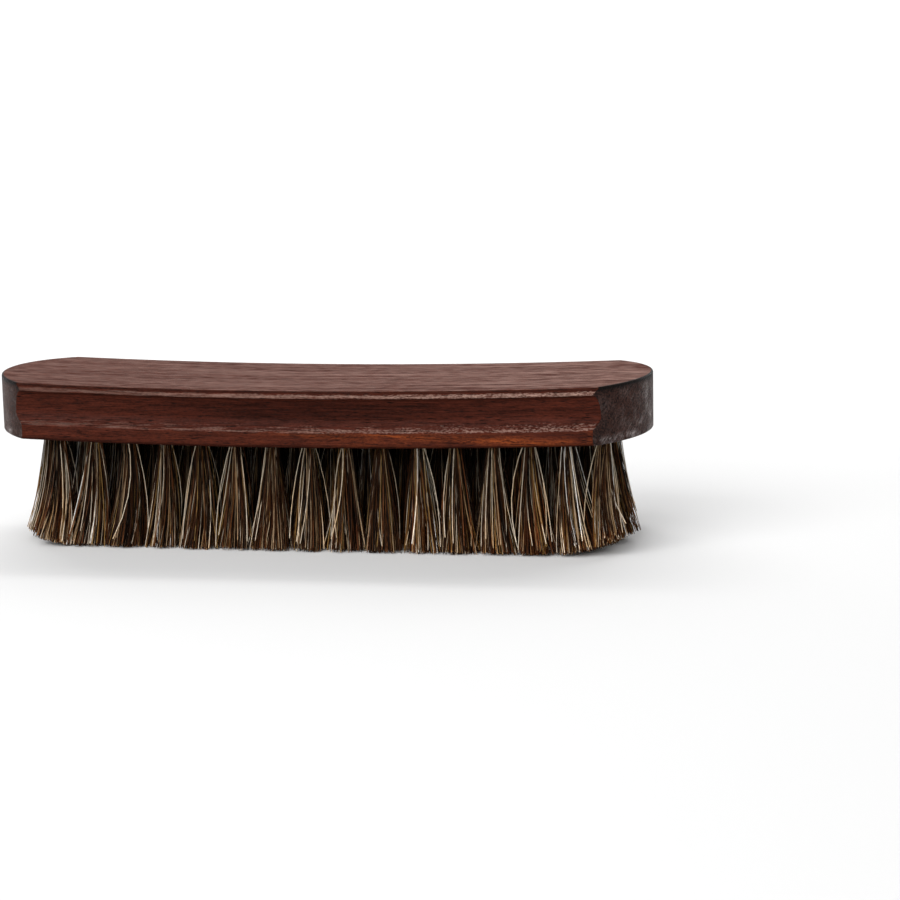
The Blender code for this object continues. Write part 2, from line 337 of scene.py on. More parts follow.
endLook = {
    "sanded": "54342b",
    "shadow": "0d0504",
    "fuzz": "c8bfbd",
    "ringTones": [(0.0, 0.4), (0.6, 0.7), (0.95, 0.2)],
    "speckSize": 0.00050,
    "speckRoughness": 0.7,
    "speckTones": [(0.38, 0.0), (0.62, 1.0)],
    "speckShare": 0.75,  # how much the specks cover the rings
    "mottleSize": 0.0045,
    "mottleTones": [(0.42, 0.0), (0.64, 1.0)],
    "scratchWidth": 0.00045,
    "scratchLength": 0.0034,
    "scratchTurn": (-32, 30, 0),  # in degrees
    "scratchTones": [(0.48, 0.0), (0.68, 0.9)],
    "scratchSpeckle": 0.35,
    # towards the moulded sides it grows darker and the fuzz lies flatter: between which
    # distances from the middle, and down to what share
    "sideDarkening": (0.0170, 0.0240, 0.60),
    "sideFuzz": (0.0040, 0.0190, 0.15),
    # painted shade by shares of the block's height from the underside up, as on the sides: a dark line
    # under the top edge
    "shadeByHeight": [(0.0, 0.9), (0.1, 1.0), (0.87, 0.95), (0.925, 0.62), (0.96, 0.12)],
    "edgeFuzz": [(0.0, 0.95), (0.09, 0.80), (0.19, 0.0)],
    "faceFuzz": [(0.0, 0.0), (0.15, 0.1), (0.24, 0.95), (0.80, 1.0), (0.93, 0.2)],
    "roughness": 0.78,
    "relief": (0.7, 0.00025),
    "specular": 0.2,
    "sheen": 0.2,
    "sheenRoughness": 0.3,
}


def heightShare(add, place):
    # 0 on the bowed underside, 1 on the top face
    split = add("ShaderNodeSeparateXYZ", {"Vector": place}).outputs
    square = add("ShaderNodeMath", {0: split["X"], 1: split["X"]}, operation="MULTIPLY")
    bow = add("ShaderNodeMath", {0: square, 1: 1 / (2 * bowRadius)}, operation="MULTIPLY")
    level = add("ShaderNodeMath", {0: split["Z"], 1: bow}, operation="SUBTRACT")
    low = blockShape["undersideHeight"]
    high = low + blockShape["thickness"]
    return add("ShaderNodeMapRange", {"Value": level, "From Min": low, "From Max": high})


def grainPattern(add, place, lengths, detail=3.0, roughness=0.6):
    # noise whose grains have the given size in metres along X, Y and Z
    sized = add("ShaderNodeMapping", {"Vector": place, "Scale": tuple(1 / size for size in lengths)})
    return add(
        "ShaderNodeTexNoise", {"Vector": sized, "Scale": 1.0, "Detail": detail, "Roughness": roughness}
    )


def woodRings(add, place):
    # growth rings round a line along X, drawn a little wavy by a slow noise
    look = lacquerLook
    waver = grainPattern(add, place, look["ringWaverSize"])
    centred = add(
        "ShaderNodeVectorMath", {0: waver.outputs["Color"], 1: (0.5, 0.5, 0.5)}, operation="SUBTRACT"
    )
    bend = (0, 2 * look["ringWaver"], 2 * look["ringWaver"])
    bent = add("ShaderNodeVectorMath", {0: centred, 1: bend, 2: place}, operation="MULTIPLY_ADD")
    toPith = tuple(-p for p in look["pith"])
    fromPith = add("ShaderNodeMapping", {"Vector": bent, "Location": toPith, "Rotation": look["pithTurn"]})
    turnLength = 0.314  # the wave texture turns once for this much of its scaled space
    return add(
        "ShaderNodeTexWave",
        {"Vector": fromPith, "Scale": turnLength / look["ringSpacing"]},
        wave_type="RINGS",
        rings_direction="X",
        wave_profile="SAW",
    )


def lacqueredBeech():
    # stained beech under thin satin lacquer, moulded on a spindle: straight fine grain, stain thin on the
    # lower band, painted shade in the hollows, painted highlights in fine flecks on the arrises and a
    # painted sheen on the top
    look = lacquerLook
    made, tree, shader = newMaterial("lacqueredStainedBeech")
    add = partial(addNode, tree)
    place = add("ShaderNodeTexCoord").outputs["Object"]
    height = heightShare(add, place)
    along = add("ShaderNodeSeparateXYZ", {"Vector": place}).outputs["X"]
    drawn = {}
    for name, (length, width, detail, (dark, light)) in look["patterns"].items():
        noise = grainPattern(add, place, (length, width, width), detail)
        drawn[name] = add("ShaderNodeValToRGB", {"Fac": noise}, stops=[(dark, 0.0), (light, 1.0)])
    growth = {}
    for name, (start, end, least, most) in look["growth"].items():
        span = {"From Min": start, "From Max": end, "To Min": least, "To Max": most}
        growth[name] = add("ShaderNodeMapRange", {"Value": along, **span})
    slant = add("ShaderNodeMath", {0: along, 1: look["thinLowest"]}, operation="SUBTRACT")
    slant = add("ShaderNodeMath", {0: slant, 1: look["thinSlant"], 2: height}, operation="MULTIPLY_ADD")
    at = {}
    for name in ("shadeByHeight", "thinPlaces", "thinStreak", "pool", "highlightPlaces", "paintedSheenPlaces"):
        level = slant if name == "thinStreak" else height
        at[name] = add("ShaderNodeValToRGB", {"Fac": level}, stops=look[name])

    layered = {
        "grainLayers": add("ShaderNodeValToRGB", {"Fac": woodRings(add, place)}, stops=look["ringTones"]),
        "paintedSheenLayers": drawn["wornStreaks"],
    }
    for kind, base in layered.items():
        for name, share in look[kind].items():
            base = add("ShaderNodeMix", {"Factor": share, "A": base, "B": drawn[name]}, data_type="RGBA")
        layered[kind] = base

    # stain, thinned to orange along one streak of the lower band and nearly bare in one place there
    stained = add(
        "ShaderNodeMix",
        {"Factor": layered["grainLayers"], "A": srgb(look["deepStain"]), "B": srgb(look["stain"])},
        data_type="RGBA",
    )
    thinGrain = add(
        "ShaderNodeMix",
        {"Factor": look["thinSpeckle"], "A": drawn["dashes"], "B": drawn["specks"]},
        data_type="RGBA",
    )
    thinGrain = add("ShaderNodeMapRange", {"Value": thinGrain, "To Max": look["thinContrast"]})
    thin = at["thinPlaces"]
    for share in (at["thinStreak"], growth["thinning"], drawn["blotches"], thinGrain):
        thin = add("ShaderNodeMath", {0: thin, 1: share}, operation="MULTIPLY")
    bareAlong, bareUp, reachAlong, reachUp = look["bareStreak"]
    bare = add("ShaderNodeCombineXYZ", {"X": along, "Y": slant})
    for factor, operation in (
        ((bareAlong, bareUp, 0), "SUBTRACT"),
        ((1 / reachAlong, 1 / reachUp, 0), "MULTIPLY"),
    ):
        bare = add("ShaderNodeVectorMath", {0: bare, 1: factor}, operation=operation)
    bare = add("ShaderNodeVectorMath", {0: bare}, operation="LENGTH").outputs["Value"]
    outer, inner = look["bareFade"]
    bare = add("ShaderNodeMapRange", {"Value": bare, "From Min": outer, "From Max": inner})
    bare = add("ShaderNodeMath", {0: bare, 1: thinGrain}, operation="MULTIPLY")
    thin = add("ShaderNodeMath", {0: thin, 1: bare}, operation="MAXIMUM")
    warmed = add(
        "ShaderNodeMix", {"Factor": thin, "A": stained, "B": srgb(look["thinStain"])}, data_type="RGBA"
    )

    # painted shade by height, darkest in the cove and under the top edge; the cove is darkest in its middle
    # and paler towards the ends
    fromMiddle = add("ShaderNodeMath", {0: along}, operation="ABSOLUTE")
    span = {"From Min": look["covePaleFrom"], "From Max": look["covePaleTo"], "To Max": look["covePaleShare"]}
    covePaling = add("ShaderNodeMapRange", {"Value": fromMiddle, **span})
    covePaling = add("ShaderNodeMath", {0: covePaling, 1: at["pool"], 2: 1.0}, operation="MULTIPLY_ADD")
    depth = add("ShaderNodeMath", {0: covePaling, 1: at["shadeByHeight"]}, operation="MULTIPLY")
    shaded = add("ShaderNodeVectorMath", {0: warmed, "Scale": depth}, operation="SCALE")
    finished = add(
        "ShaderNodeMix",
        {"Factor": drawn["pores"], "A": shaded, "B": srgb(look["poreStain"])},
        data_type="RGBA",
    )

    # painted highlights on the arrises: where they are slight only some flecks show; they close up into one
    # pale line where they are strong, and are long and soft to the left, short and crisp to the right; the
    # top gets a painted sheen
    sheenMask = add("ShaderNodeMapRange", {"Value": layered["paintedSheenLayers"], "From Min": look["paintedSheenFrom"]})
    worn = add("ShaderNodeMath", {0: at["paintedSheenPlaces"], 1: sheenMask}, operation="MULTIPLY")
    broken = add(
        "ShaderNodeMix",
        {"Factor": growth["crispness"], "A": drawn["flecks"], "B": drawn["specks"]},
        data_type="RGBA",
    )
    highlightMask = add("ShaderNodeMath", {0: broken, 1: at["highlightPlaces"]}, operation="ADD")
    span = {"From Min": look["highlightFrom"], "From Max": look["highlightTo"]}
    rubbed = add("ShaderNodeMapRange", {"Value": highlightMask, **span})
    for name, amount in (("worn", worn), ("rubbed", rubbed)):
        amount = add("ShaderNodeMath", {0: amount, 1: growth[name]}, operation="MULTIPLY", use_clamp=True)
        finished = add(
            "ShaderNodeMix", {"Factor": amount, "A": finished, "B": srgb(look[name])}, data_type="RGBA"
        )

    dull, glossy = look["roughness"]
    gloss = add("ShaderNodeMapRange", {"Value": drawn["fibres"], "To Min": dull, "To Max": glossy})
    relief = add("ShaderNodeMath", {0: drawn["fibres"], 1: drawn["pores"]}, operation="SUBTRACT")
    strength, distance = look["relief"]
    bump = add("ShaderNodeBump", {"Strength": strength, "Distance": distance, "Height": relief})
    tree.links.new(finished.outputs[2], shader.inputs["Base Color"])
    tree.links.new(gloss.outputs[0], shader.inputs["Roughness"])
    tree.links.new(bump.outputs[0], shader.inputs["Normal"])
    shader.inputs["Specular IOR Level"].default_value = look["specular"]
    return made


def sandedEndGrain():
    # the same beech cut across its fibres and belt-sanded: matt, mottled, furred with slanting scratches
    # and along its lower edge, and dark because open fibre ends drink the stain; painted shade under the
    # top edge
    look = endLook
    made, tree, shader = newMaterial("sandedEndGrain")
    add = partial(addNode, tree)
    place = add("ShaderNodeTexCoord").outputs["Object"]
    height = heightShare(add, place)
    at = {}
    for name in ("shadeByHeight", "edgeFuzz", "faceFuzz"):
        at[name] = add("ShaderNodeValToRGB", {"Fac": height}, stops=look[name])
    across = add("ShaderNodeSeparateXYZ", {"Vector": place}).outputs["Y"]
    across = add("ShaderNodeMath", {0: across}, operation="ABSOLUTE")
    for name in ("sideDarkening", "sideFuzz"):
        start, end, least = look[name]
        span = {"From Min": start, "From Max": end, "To Min": 1.0, "To Max": least}
        at[name] = add("ShaderNodeMapRange", {"Value": across, **span})

    turn = tuple(math.radians(degrees) for degrees in look["scratchTurn"])
    turned = add("ShaderNodeMapping", {"Vector": place, "Rotation": turn})
    length = look["scratchLength"]
    drawn = {
        "ring": woodRings(add, place),
        "speck": grainPattern(add, place, (look["speckSize"],) * 3, roughness=look["speckRoughness"]),
        "mottle": grainPattern(add, place, (look["mottleSize"],) * 3),
        "scratch": grainPattern(add, turned, (length, length, look["scratchWidth"])),
    }
    tone = {
        name: add("ShaderNodeValToRGB", {"Fac": pattern}, stops=look[name + "Tones"])
        for name, pattern in drawn.items()
    }

    grain = add(
        "ShaderNodeMix",
        {"Factor": look["speckShare"], "A": tone["ring"], "B": tone["speck"]},
        data_type="RGBA",
    )
    base = add(
        "ShaderNodeMix",
        {"Factor": grain, "A": srgb(look["shadow"]), "B": srgb(look["sanded"])},
        data_type="RGBA",
    )
    fuzz = {0: at["faceFuzz"], 1: at["sideFuzz"], 2: at["edgeFuzz"]}
    raised = add("ShaderNodeMath", fuzz, operation="MULTIPLY_ADD")
    patch = add("ShaderNodeMath", {0: tone["mottle"], 1: raised}, operation="MULTIPLY")
    fine = add(
        "ShaderNodeMix",
        {"Factor": look["scratchSpeckle"], "A": tone["scratch"], "B": tone["speck"]},
        data_type="RGBA",
    )
    furred = add("ShaderNodeMath", {0: patch, 1: fine}, operation="MULTIPLY")
    fuzzy = add("ShaderNodeMix", {"Factor": furred, "A": base, "B": srgb(look["fuzz"])}, data_type="RGBA")
    depth = add("ShaderNodeMath", {0: at["shadeByHeight"], 1: at["sideDarkening"]}, operation="MULTIPLY")
    finished = add("ShaderNodeVectorMath", {0: fuzzy, "Scale": depth}, operation="SCALE")
    relief = add("ShaderNodeMath", {0: drawn["speck"], 1: drawn["scratch"]}, operation="ADD")
    strength, distance = look["relief"]
    bump = add("ShaderNodeBump", {"Strength": strength, "Distance": distance, "Height": relief})
    tree.links.new(finished.outputs[0], shader.inputs["Base Color"])
    tree.links.new(bump.outputs[0], shader.inputs["Normal"])
    shader.inputs["Roughness"].default_value = look["roughness"]
    shader.inputs["Specular IOR Level"].default_value = look["specular"]
    shader.inputs["Sheen Weight"].default_value = look["sheen"]
    shader.inputs["Sheen Roughness"].default_value = look["sheenRoughness"]
    return made


def makeBlock():
    block = newObject("mouldedBlock", blockMesh())
    for material in (lacqueredBeech(), sandedEndGrain()):
        block.data.materials.append(material)
    drill = newObject("tuftDrill", drillMesh())
    for material in block.data.materials:
        drill.data.materials.append(material)
    for face in drill.data.polygons:
        face.material_index = 1  # the holes show raw end grain
    ridge = block.modifiers.new("ridge", "BEVEL")
    ridge.width = blockShape["ridgeRadius"]
    ridge.segments = blockShape["ridgeSteps"]
    ridge.limit_method = "ANGLE"
    ridge.angle_limit = math.radians(blockShape["ridgeAngle"])
    ridge.use_clamp_overlap = False
    holes = block.modifiers.new("holes", "BOOLEAN")
    holes.operation = "DIFFERENCE"
    holes.solver = "EXACT"
    holes.object = drill
    settleModifiers(block)
    bpy.data.objects.remove(drill)
    block.data.shade_smooth()
    block.data.set_sharp_from_angle(angle=math.radians(blockShape["smoothAngle"]))
    weighted = block.modifiers.new("weighted", "WEIGHTED_NORMAL")
    weighted.keep_sharp = True
    settleModifiers(block)
    return block


block = makeBlock()
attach(block, "root")
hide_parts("block")
print("block made:", len(block.data.polygons), "faces")


# Hair

# each entry is an input of the hair tree, under the same name
hairShape = {
    "hairsInTuft": 340,
    "wispSize": 6,
    "segments": 5,
    "hairSides": 3,
    "hairRadius": 0.00012,  # real hair is a quarter thinner, too fine to show
    "leastSize": 0.8,  # hairs differ in thickness between these shares of it
    "greatestSize": 1.2,
    "paleHairSize": 1.18,  # the palest hairs are this much thicker than the dark ones,
    "paleFrom": 0.7,  # by tone, between these
    "paleTo": 0.9,
    "tipSize": 0.7,
    "rootRadius": 0.00155,
    "rootDepth": 0.0015,  # how far up the hole each hair is drawn
    "rootMixing": 0.55,  # 0 where hairs keep their places from root to tip; more where they cross
    "fan": (0.0050, 0.0042, 0.0),  # half the spread of a tuft at its tips, along and across
    "ownScatter": 0.28,  # of a hair about its wisp, as a share of the spread
    # how far tips stand out, as shares of their root's distance from the brush's middle
    "lean": (0.0024 / 0.0733, 0.0026 / 0.0176, 0.0),
    "leanLag": 2.6,  # 1 for straight hair; more where it leans out only further down
    "fieldShift": (0.0006, 0.0, 0.0),  # middle of the field of tips, and half of the field,
    "field": (0.0815, 0.0244, 0.0),  # to where the trim has rounded it off
    "endRadius": 0.0320,  # its ends are round like the block's
    "endComb": 0.47,  # how much of a tip's way past them is taken back
    "endTrimWidth": 0.0068,
    "endTrimRise": 0.0017,
    "sideTrimRadius": 0.0030,
    "tipBow": 0.0012,
    "flatCut": 0.0005,
    "raggedness": 0.0007,  # how far the tips differ in length
    "bend": 0.0007,
    "strayShare": 0.022,
    "strayReach": 0.0036,
    "strayRise": 0.0022,
    "strayBend": 0.0014,
    "strayTone": 0.93,  # strays are pale
    "tuftTone": 0.14,  # how much of a hair's tone its whole tuft shares
    "innerShade": 0.50,  # painted shade: how dark the inner tufts are at their roots, deep in the brush,
    "shadeFrom": 0.007,  # by a tuft's distance from the edge of the field, between these,
    "shadeTo": 0.013,
    "litFrom": 0.2,  # and where down the hair that ends, from root to tip
    "litTo": 0.98,
}

hairLook = {
    "tones": [
        (0.00, "110600"),  # black
        (0.20, "220f02"),  # dark brown
        (0.40, "3c200a"),  # brown
        (0.58, "583414"),  # warm brown
        (0.68, "76492a"),  # chestnut
        (0.735, "90703f"),  # golden
        (0.80, "a48a6c"),  # beige
        (0.885, "d8c9b4"),  # straw
        (0.94, "fffcf7"),  # white
    ],
    "rootTint": (0.98, 0.97, 0.93, 1.0),
    "tipTint": (1.02, 1.0, 0.99, 1.0),
    "goldenTint": (1.24, 0.98, 0.68, 1.0),  # patches of the trimmed face shine golden
    "patchSize": (0.005, 0.005, 0.020),
    "patchTones": [(0.49, 0.0), (0.62, 1.0)],
    "mottleSize": (0.0004, 0.0004, 0.0026),
    "mottle": (0.20, 1.70),
    # painted light and shade from root to tip: bright where it leaves the block, against the block's
    # shadow, then dark as in its neighbours' shade, and brighter again towards the tip
    "rootShade": [(0.0, 0.95), (0.10, 0.95), (0.155, 0.86), (0.20, 0.64), (0.28, 0.62), (0.95, 1.17)],
    "roughness": 0.50,
    "specular": 0.15,
}


def spacedName(name):
    # "tipBow" -> "Tip Bow"
    return "".join(" " + letter if letter.isupper() else letter for letter in name).title()


def horsehair():
    # mixed undyed horsehair, washed and trimmed: each hair has one colour from root to tip and a
    # soft gloss, so neighbouring hairs part into light and dark lines; painted light and shade run along
    # each hair
    look = hairLook
    made, tree, shader = newMaterial("mixedHorsehair")
    add = partial(addNode, tree)
    tone, along, shade = (
        add("ShaderNodeAttribute", attribute_name=name).outputs["Fac"]
        for name in ("hairTone", "hairAlong", "hairShade")
    )
    stops = [(place, srgb(code)) for place, code in look["tones"]]
    color = add("ShaderNodeValToRGB", {"Fac": tone}, stops=stops)
    color.color_ramp.interpolation = "CONSTANT"
    place = add("ShaderNodeTexCoord").outputs["Object"]
    mottle = grainPattern(add, place, look["mottleSize"], detail=2.0)
    dark, light = look["mottle"]
    uneven = add("ShaderNodeMapRange", {"Value": mottle, "To Min": dark, "To Max": light})
    rootShade = add("ShaderNodeValToRGB", {"Fac": along}, stops=look["rootShade"])
    both = add("ShaderNodeMath", {0: uneven, 1: rootShade}, operation="MULTIPLY")
    both = add("ShaderNodeMath", {0: both, 1: shade}, operation="MULTIPLY")
    shaded = add("ShaderNodeVectorMath", {0: color, "Scale": both}, operation="SCALE")

    patches = grainPattern(add, place, look["patchSize"], detail=1.0)
    golden = add("ShaderNodeValToRGB", {"Fac": patches}, stops=look["patchTones"])
    golden = add("ShaderNodeMath", {0: golden, 1: along}, operation="MULTIPLY")
    tint = look["rootTint"]
    for share, name in ((along, "tipTint"), (golden, "goldenTint")):
        tint = add("ShaderNodeMix", {"Factor": share, "A": tint, "B": look[name]}, data_type="RGBA")
    tinted = add("ShaderNodeVectorMath", {0: shaded, 1: tint}, operation="MULTIPLY")
    tree.links.new(tinted.outputs[0], shader.inputs["Base Color"])
    shader.inputs["Roughness"].default_value = look["roughness"]
    shader.inputs["Specular IOR Level"].default_value = look["specular"]
    return made


def hairTree():
    # every point of the given mesh becomes one tuft of hairs
    kinds = {int: "Int", float: "Float", tuple: "Vector"}
    sockets = {spacedName(name): kinds[type(value)] for name, value in hairShape.items()}
    sockets.update({"Half Length": "Float", "Seed": "Int", "Material": "Material"})
    tree = bpy.data.node_groups.new("hairTuftRow", "GeometryNodeTree")
    tree.is_modifier = True
    add = partial(addNode, tree)
    face = tree.interface
    face.new_socket("Tufts", in_out="INPUT", socket_type="NodeSocketGeometry")
    face.new_socket("Hair", in_out="OUTPUT", socket_type="NodeSocketGeometry")
    for name, kind in sockets.items():
        face.new_socket(name, in_out="INPUT", socket_type="NodeSocket" + kind)
    given = add("NodeGroupInput").outputs

    place = add("GeometryNodeInputPosition")
    number = add("GeometryNodeInputIndex")
    points = add("GeometryNodeMeshToPoints", {"Mesh": given["Tufts"]})
    for name, kind, value in (("tuftAt", "FLOAT_VECTOR", place), ("tuftNumber", "FLOAT", number)):
        points = add(
            "GeometryNodeStoreNamedAttribute",
            {"Geometry": points, "Name": name, "Value": value},
            data_type=kind,
            domain="POINT",
        )
    amount = given["Hairs In Tuft"]
    copies = add("GeometryNodeDuplicateElements", {"Geometry": points, "Amount": amount}, domain="POINT")
    kept = {
        name: add("GeometryNodeInputNamedAttribute", {"Name": name}, data_type=kind)
        for kind, names in (
            ("FLOAT_VECTOR", ("tuftAt", "rootAt", "tipAt", "leanBy", "bendBy")),
            ("FLOAT", ("tuftNumber", "hairSize", "hairDepth", "hairAlong")),
        )
        for name in names
    }
    tuftAt, tuftNumber = kept["tuftAt"], kept["tuftNumber"]

    # hairs stand in wisps: a few that share most of their direction
    copyNumber = copies.outputs["Duplicate Index"]
    wisp = add("ShaderNodeMath", {0: copyNumber, 1: given["Wisp Size"]}, operation="DIVIDE")
    wisp = add("ShaderNodeMath", {0: wisp}, operation="FLOOR")
    tuftStep = 1000.0  # more than a tuft has wisps, so no two in a row share a number
    wisp = add("ShaderNodeMath", {0: tuftNumber, 1: tuftStep, 2: wisp}, operation="MULTIPLY_ADD")

    # random numbers from 0 to 1: four sets of three for each hair, one for each wisp and tuft
    draws = []
    seedStep = 7.0
    for turn, who in enumerate((None, None, None, None, wisp, tuftNumber)):
        seed = add("ShaderNodeMath", {0: given["Seed"], 1: seedStep * turn}, operation="ADD")
        inputs = {"Min": (0, 0, 0), "Max": (1, 1, 1), "Seed": seed}
        if who is not None:
            inputs["ID"] = who
        draw = add("FunctionNodeRandomValue", inputs, data_type="FLOAT_VECTOR")
        draws.append(add("ShaderNodeSeparateXYZ", {"Vector": draw}).outputs)
    spots = []  # even scatters over a disc of radius 1
    for draw in (draws[0], draws[4], draws[1], draws[2]):
        reach = add("ShaderNodeMath", {0: draw["X"]}, operation="SQRT")
        arm = add("ShaderNodeCombineXYZ", {"X": reach})
        turn = add("ShaderNodeMath", {0: draw["Y"], 1: 2 * math.pi}, operation="MULTIPLY")
        spot = add("ShaderNodeVectorRotate", {"Vector": arm, "Angle": turn}, rotation_type="Z_AXIS")
        spots.append(spot)
    own, shared, wander, bendSide = spots

    spot = add(
        "ShaderNodeVectorMath", {0: own, 1: given["Own Scatter"], 2: shared}, operation="MULTIPLY_ADD"
    )
    mixing = {"Factor": given["Root Mixing"], "A": spot, "B": wander}
    rootSpot = add("ShaderNodeMix", mixing, data_type="VECTOR")
    placing = {0: rootSpot, 1: given["Root Radius"], 2: tuftAt}
    rootSpot = add("ShaderNodeVectorMath", placing, operation="MULTIPLY_ADD")
    up = add("ShaderNodeCombineXYZ", {"Z": given["Root Depth"]})
    rootAt = add("ShaderNodeVectorMath", {0: rootSpot, 1: up}, operation="ADD")

    stray = add("ShaderNodeMath", {0: draws[1]["Z"], 1: given["Stray Share"]}, operation="LESS_THAN")
    wanderBy = add("ShaderNodeMath", {0: stray, 1: given["Stray Reach"]}, operation="MULTIPLY")
    wandered = add("ShaderNodeVectorMath", {0: wander, "Scale": wanderBy}, operation="SCALE")
    tipSpot = add("ShaderNodeVectorMath", {0: spot, 1: given["Fan"], 2: wandered}, operation="MULTIPLY_ADD")
    leanBy = add("ShaderNodeVectorMath", {0: tuftAt, 1: given["Lean"]}, operation="MULTIPLY")
    leaning = add("ShaderNodeVectorMath", {0: leanBy, 1: tipSpot}, operation="ADD")
    tipFlat = add("ShaderNodeVectorMath", {0: tuftAt, 1: (1, 1, 0), 2: leaning}, operation="MULTIPLY_ADD")

    fromMiddle = add("ShaderNodeVectorMath", {0: tipFlat, 1: given["Field Shift"]}, operation="SUBTRACT")
    tip = add("ShaderNodeSeparateXYZ", {"Vector": fromMiddle}).outputs
    field = add("ShaderNodeSeparateXYZ", {"Vector": given["Field"]}).outputs

    # the field's ends are round: tips past the arc are combed back towards it
    arcMiddle = add("ShaderNodeMath", {0: field["X"], 1: given["End Radius"]}, operation="SUBTRACT")
    fromArc = fromMiddle
    for side, operation in ((1.0, "MINIMUM"), (-1.0, "MAXIMUM")):
        edge = add("ShaderNodeMath", {0: arcMiddle, 1: side}, operation="MULTIPLY")
        edge = add("ShaderNodeCombineXYZ", {"X": edge})
        fromArc = add("ShaderNodeVectorMath", {0: fromArc, 1: edge}, operation=operation)
    fromArc = add("ShaderNodeVectorMath", {0: fromMiddle, 1: fromArc}, operation="SUBTRACT")
    distance = add("ShaderNodeVectorMath", {0: fromArc}, operation="LENGTH").outputs["Value"]
    past = add("ShaderNodeMath", {0: distance, 1: given["End Radius"]}, operation="SUBTRACT")
    over = add("ShaderNodeMath", {0: past, 1: 0.0}, operation="MAXIMUM")
    drawnIn = add("ShaderNodeMath", {0: over, 1: given["End Comb"]}, operation="MULTIPLY")
    share = add("ShaderNodeMath", {0: drawnIn, 1: distance}, operation="DIVIDE")
    back = add("ShaderNodeVectorMath", {0: fromArc, "Scale": share}, operation="SCALE")
    tipFlat = add("ShaderNodeVectorMath", {0: tipFlat, 1: back}, operation="SUBTRACT")
    past = add("ShaderNodeMath", {0: past, 1: drawnIn}, operation="SUBTRACT")

    # the trimmed surface: bowed like the block, rounded off at its edges and flat where it stands
    along = add("ShaderNodeMath", {0: tip["X"], 1: given["Half Length"]}, operation="DIVIDE")
    along = add("ShaderNodeMath", {0: along, 1: along}, operation="MULTIPLY")
    height = add("ShaderNodeMath", {0: along, 1: given["Tip Bow"]}, operation="MULTIPLY")
    for other, operation in ((given["End Trim Width"], "DIVIDE"), (1.0, "ADD"), (0.0, "MAXIMUM")):
        past = add("ShaderNodeMath", {0: past, 1: other}, operation=operation)
    past = add("ShaderNodeMath", {0: past, 1: past}, operation="MULTIPLY")
    height = add(
        "ShaderNodeMath", {0: past, 1: given["End Trim Rise"], 2: height}, operation="MULTIPLY_ADD"
    )

    reach = add("ShaderNodeMath", {0: tip["Y"]}, operation="ABSOLUTE")
    level = add("ShaderNodeMath", {0: field["Y"], 1: given["Side Trim Radius"]}, operation="SUBTRACT")
    past = add("ShaderNodeMapRange", {"Value": reach, "From Min": level, "From Max": field["Y"]})
    square = add("ShaderNodeMath", {0: past, 1: past}, operation="MULTIPLY")
    left = add("ShaderNodeMath", {0: 1.0, 1: square}, operation="SUBTRACT")
    left = add("ShaderNodeMath", {0: left}, operation="SQRT")
    fall = add("ShaderNodeMath", {0: 1.0, 1: left}, operation="SUBTRACT")
    height = add(
        "ShaderNodeMath", {0: fall, 1: given["Side Trim Radius"], 2: height}, operation="MULTIPLY_ADD"
    )
    for other, operation in ((given["Flat Cut"], "SUBTRACT"), (0.0, "MAXIMUM")):
        height = add("ShaderNodeMath", {0: height, 1: other}, operation=operation)
    height = add(
        "ShaderNodeMath", {0: draws[0]["Z"], 1: given["Raggedness"], 2: height}, operation="MULTIPLY_ADD"
    )
    shorter = add("ShaderNodeMath", {0: stray, 1: draws[2]["Z"]}, operation="MULTIPLY")
    height = add(
        "ShaderNodeMath", {0: shorter, 1: given["Stray Rise"], 2: height}, operation="MULTIPLY_ADD"
    )
    tipRise = add("ShaderNodeCombineXYZ", {"Z": height})
    tipAt = add("ShaderNodeVectorMath", {0: tipFlat, 1: tipRise}, operation="ADD")

    bendSize = add(
        "ShaderNodeMath", {0: stray, 1: given["Stray Bend"], 2: given["Bend"]}, operation="MULTIPLY_ADD"
    )
    bendBy = add("ShaderNodeVectorMath", {0: bendSide, "Scale": bendSize}, operation="SCALE")
    tone = add("ShaderNodeMix", {"Factor": given["Tuft Tone"], "A": draws[3]["X"], "B": draws[5]["X"]})
    strayTone = add("ShaderNodeMath", {0: stray, 1: given["Stray Tone"]}, operation="MULTIPLY")
    tone = add("ShaderNodeMath", {0: tone, 1: strayTone}, operation="MAXIMUM")
    span = {"To Min": given["Least Size"], "To Max": given["Greatest Size"]}
    size = add("ShaderNodeMapRange", {"Value": draws[3]["Y"], **span})
    span = {"From Min": given["Pale From"], "From Max": given["Pale To"]}
    span.update({"To Min": 1.0, "To Max": given["Pale Hair Size"]})
    paleness = add("ShaderNodeMapRange", {"Value": tone, **span})
    size = add("ShaderNodeMath", {0: size, 1: paleness}, operation="MULTIPLY")

    # painted shade: a tuft that stands deep in the field is darkened at its roots
    tuftFlat = add("ShaderNodeVectorMath", {0: tuftAt, 1: given["Field Shift"]}, operation="SUBTRACT")
    tuftFlat = add("ShaderNodeVectorMath", {0: tuftFlat}, operation="ABSOLUTE")
    margin = add("ShaderNodeVectorMath", {0: given["Field"], 1: tuftFlat}, operation="SUBTRACT")
    margin = add("ShaderNodeSeparateXYZ", {"Vector": margin}).outputs
    nearest = add("ShaderNodeMath", {0: margin["X"], 1: margin["Y"]}, operation="MINIMUM")
    span = {"From Min": given["Shade From"], "From Max": given["Shade To"], "To Max": given["Inner Shade"]}
    deep = add("ShaderNodeMapRange", {"Value": nearest, **span})

    hairs = copies.outputs["Geometry"]
    for name, kind, value in (
        ("rootAt", "FLOAT_VECTOR", rootAt),
        ("tipAt", "FLOAT_VECTOR", tipAt),
        ("leanBy", "FLOAT_VECTOR", leanBy),
        ("bendBy", "FLOAT_VECTOR", bendBy),
        ("hairTone", "FLOAT", tone),
        ("hairSize", "FLOAT", size),
        ("hairDepth", "FLOAT", deep),
    ):
        hairs = add(
            "GeometryNodeStoreNamedAttribute",
            {"Geometry": hairs, "Name": name, "Value": value},
            data_type=kind,
            domain="POINT",
        )

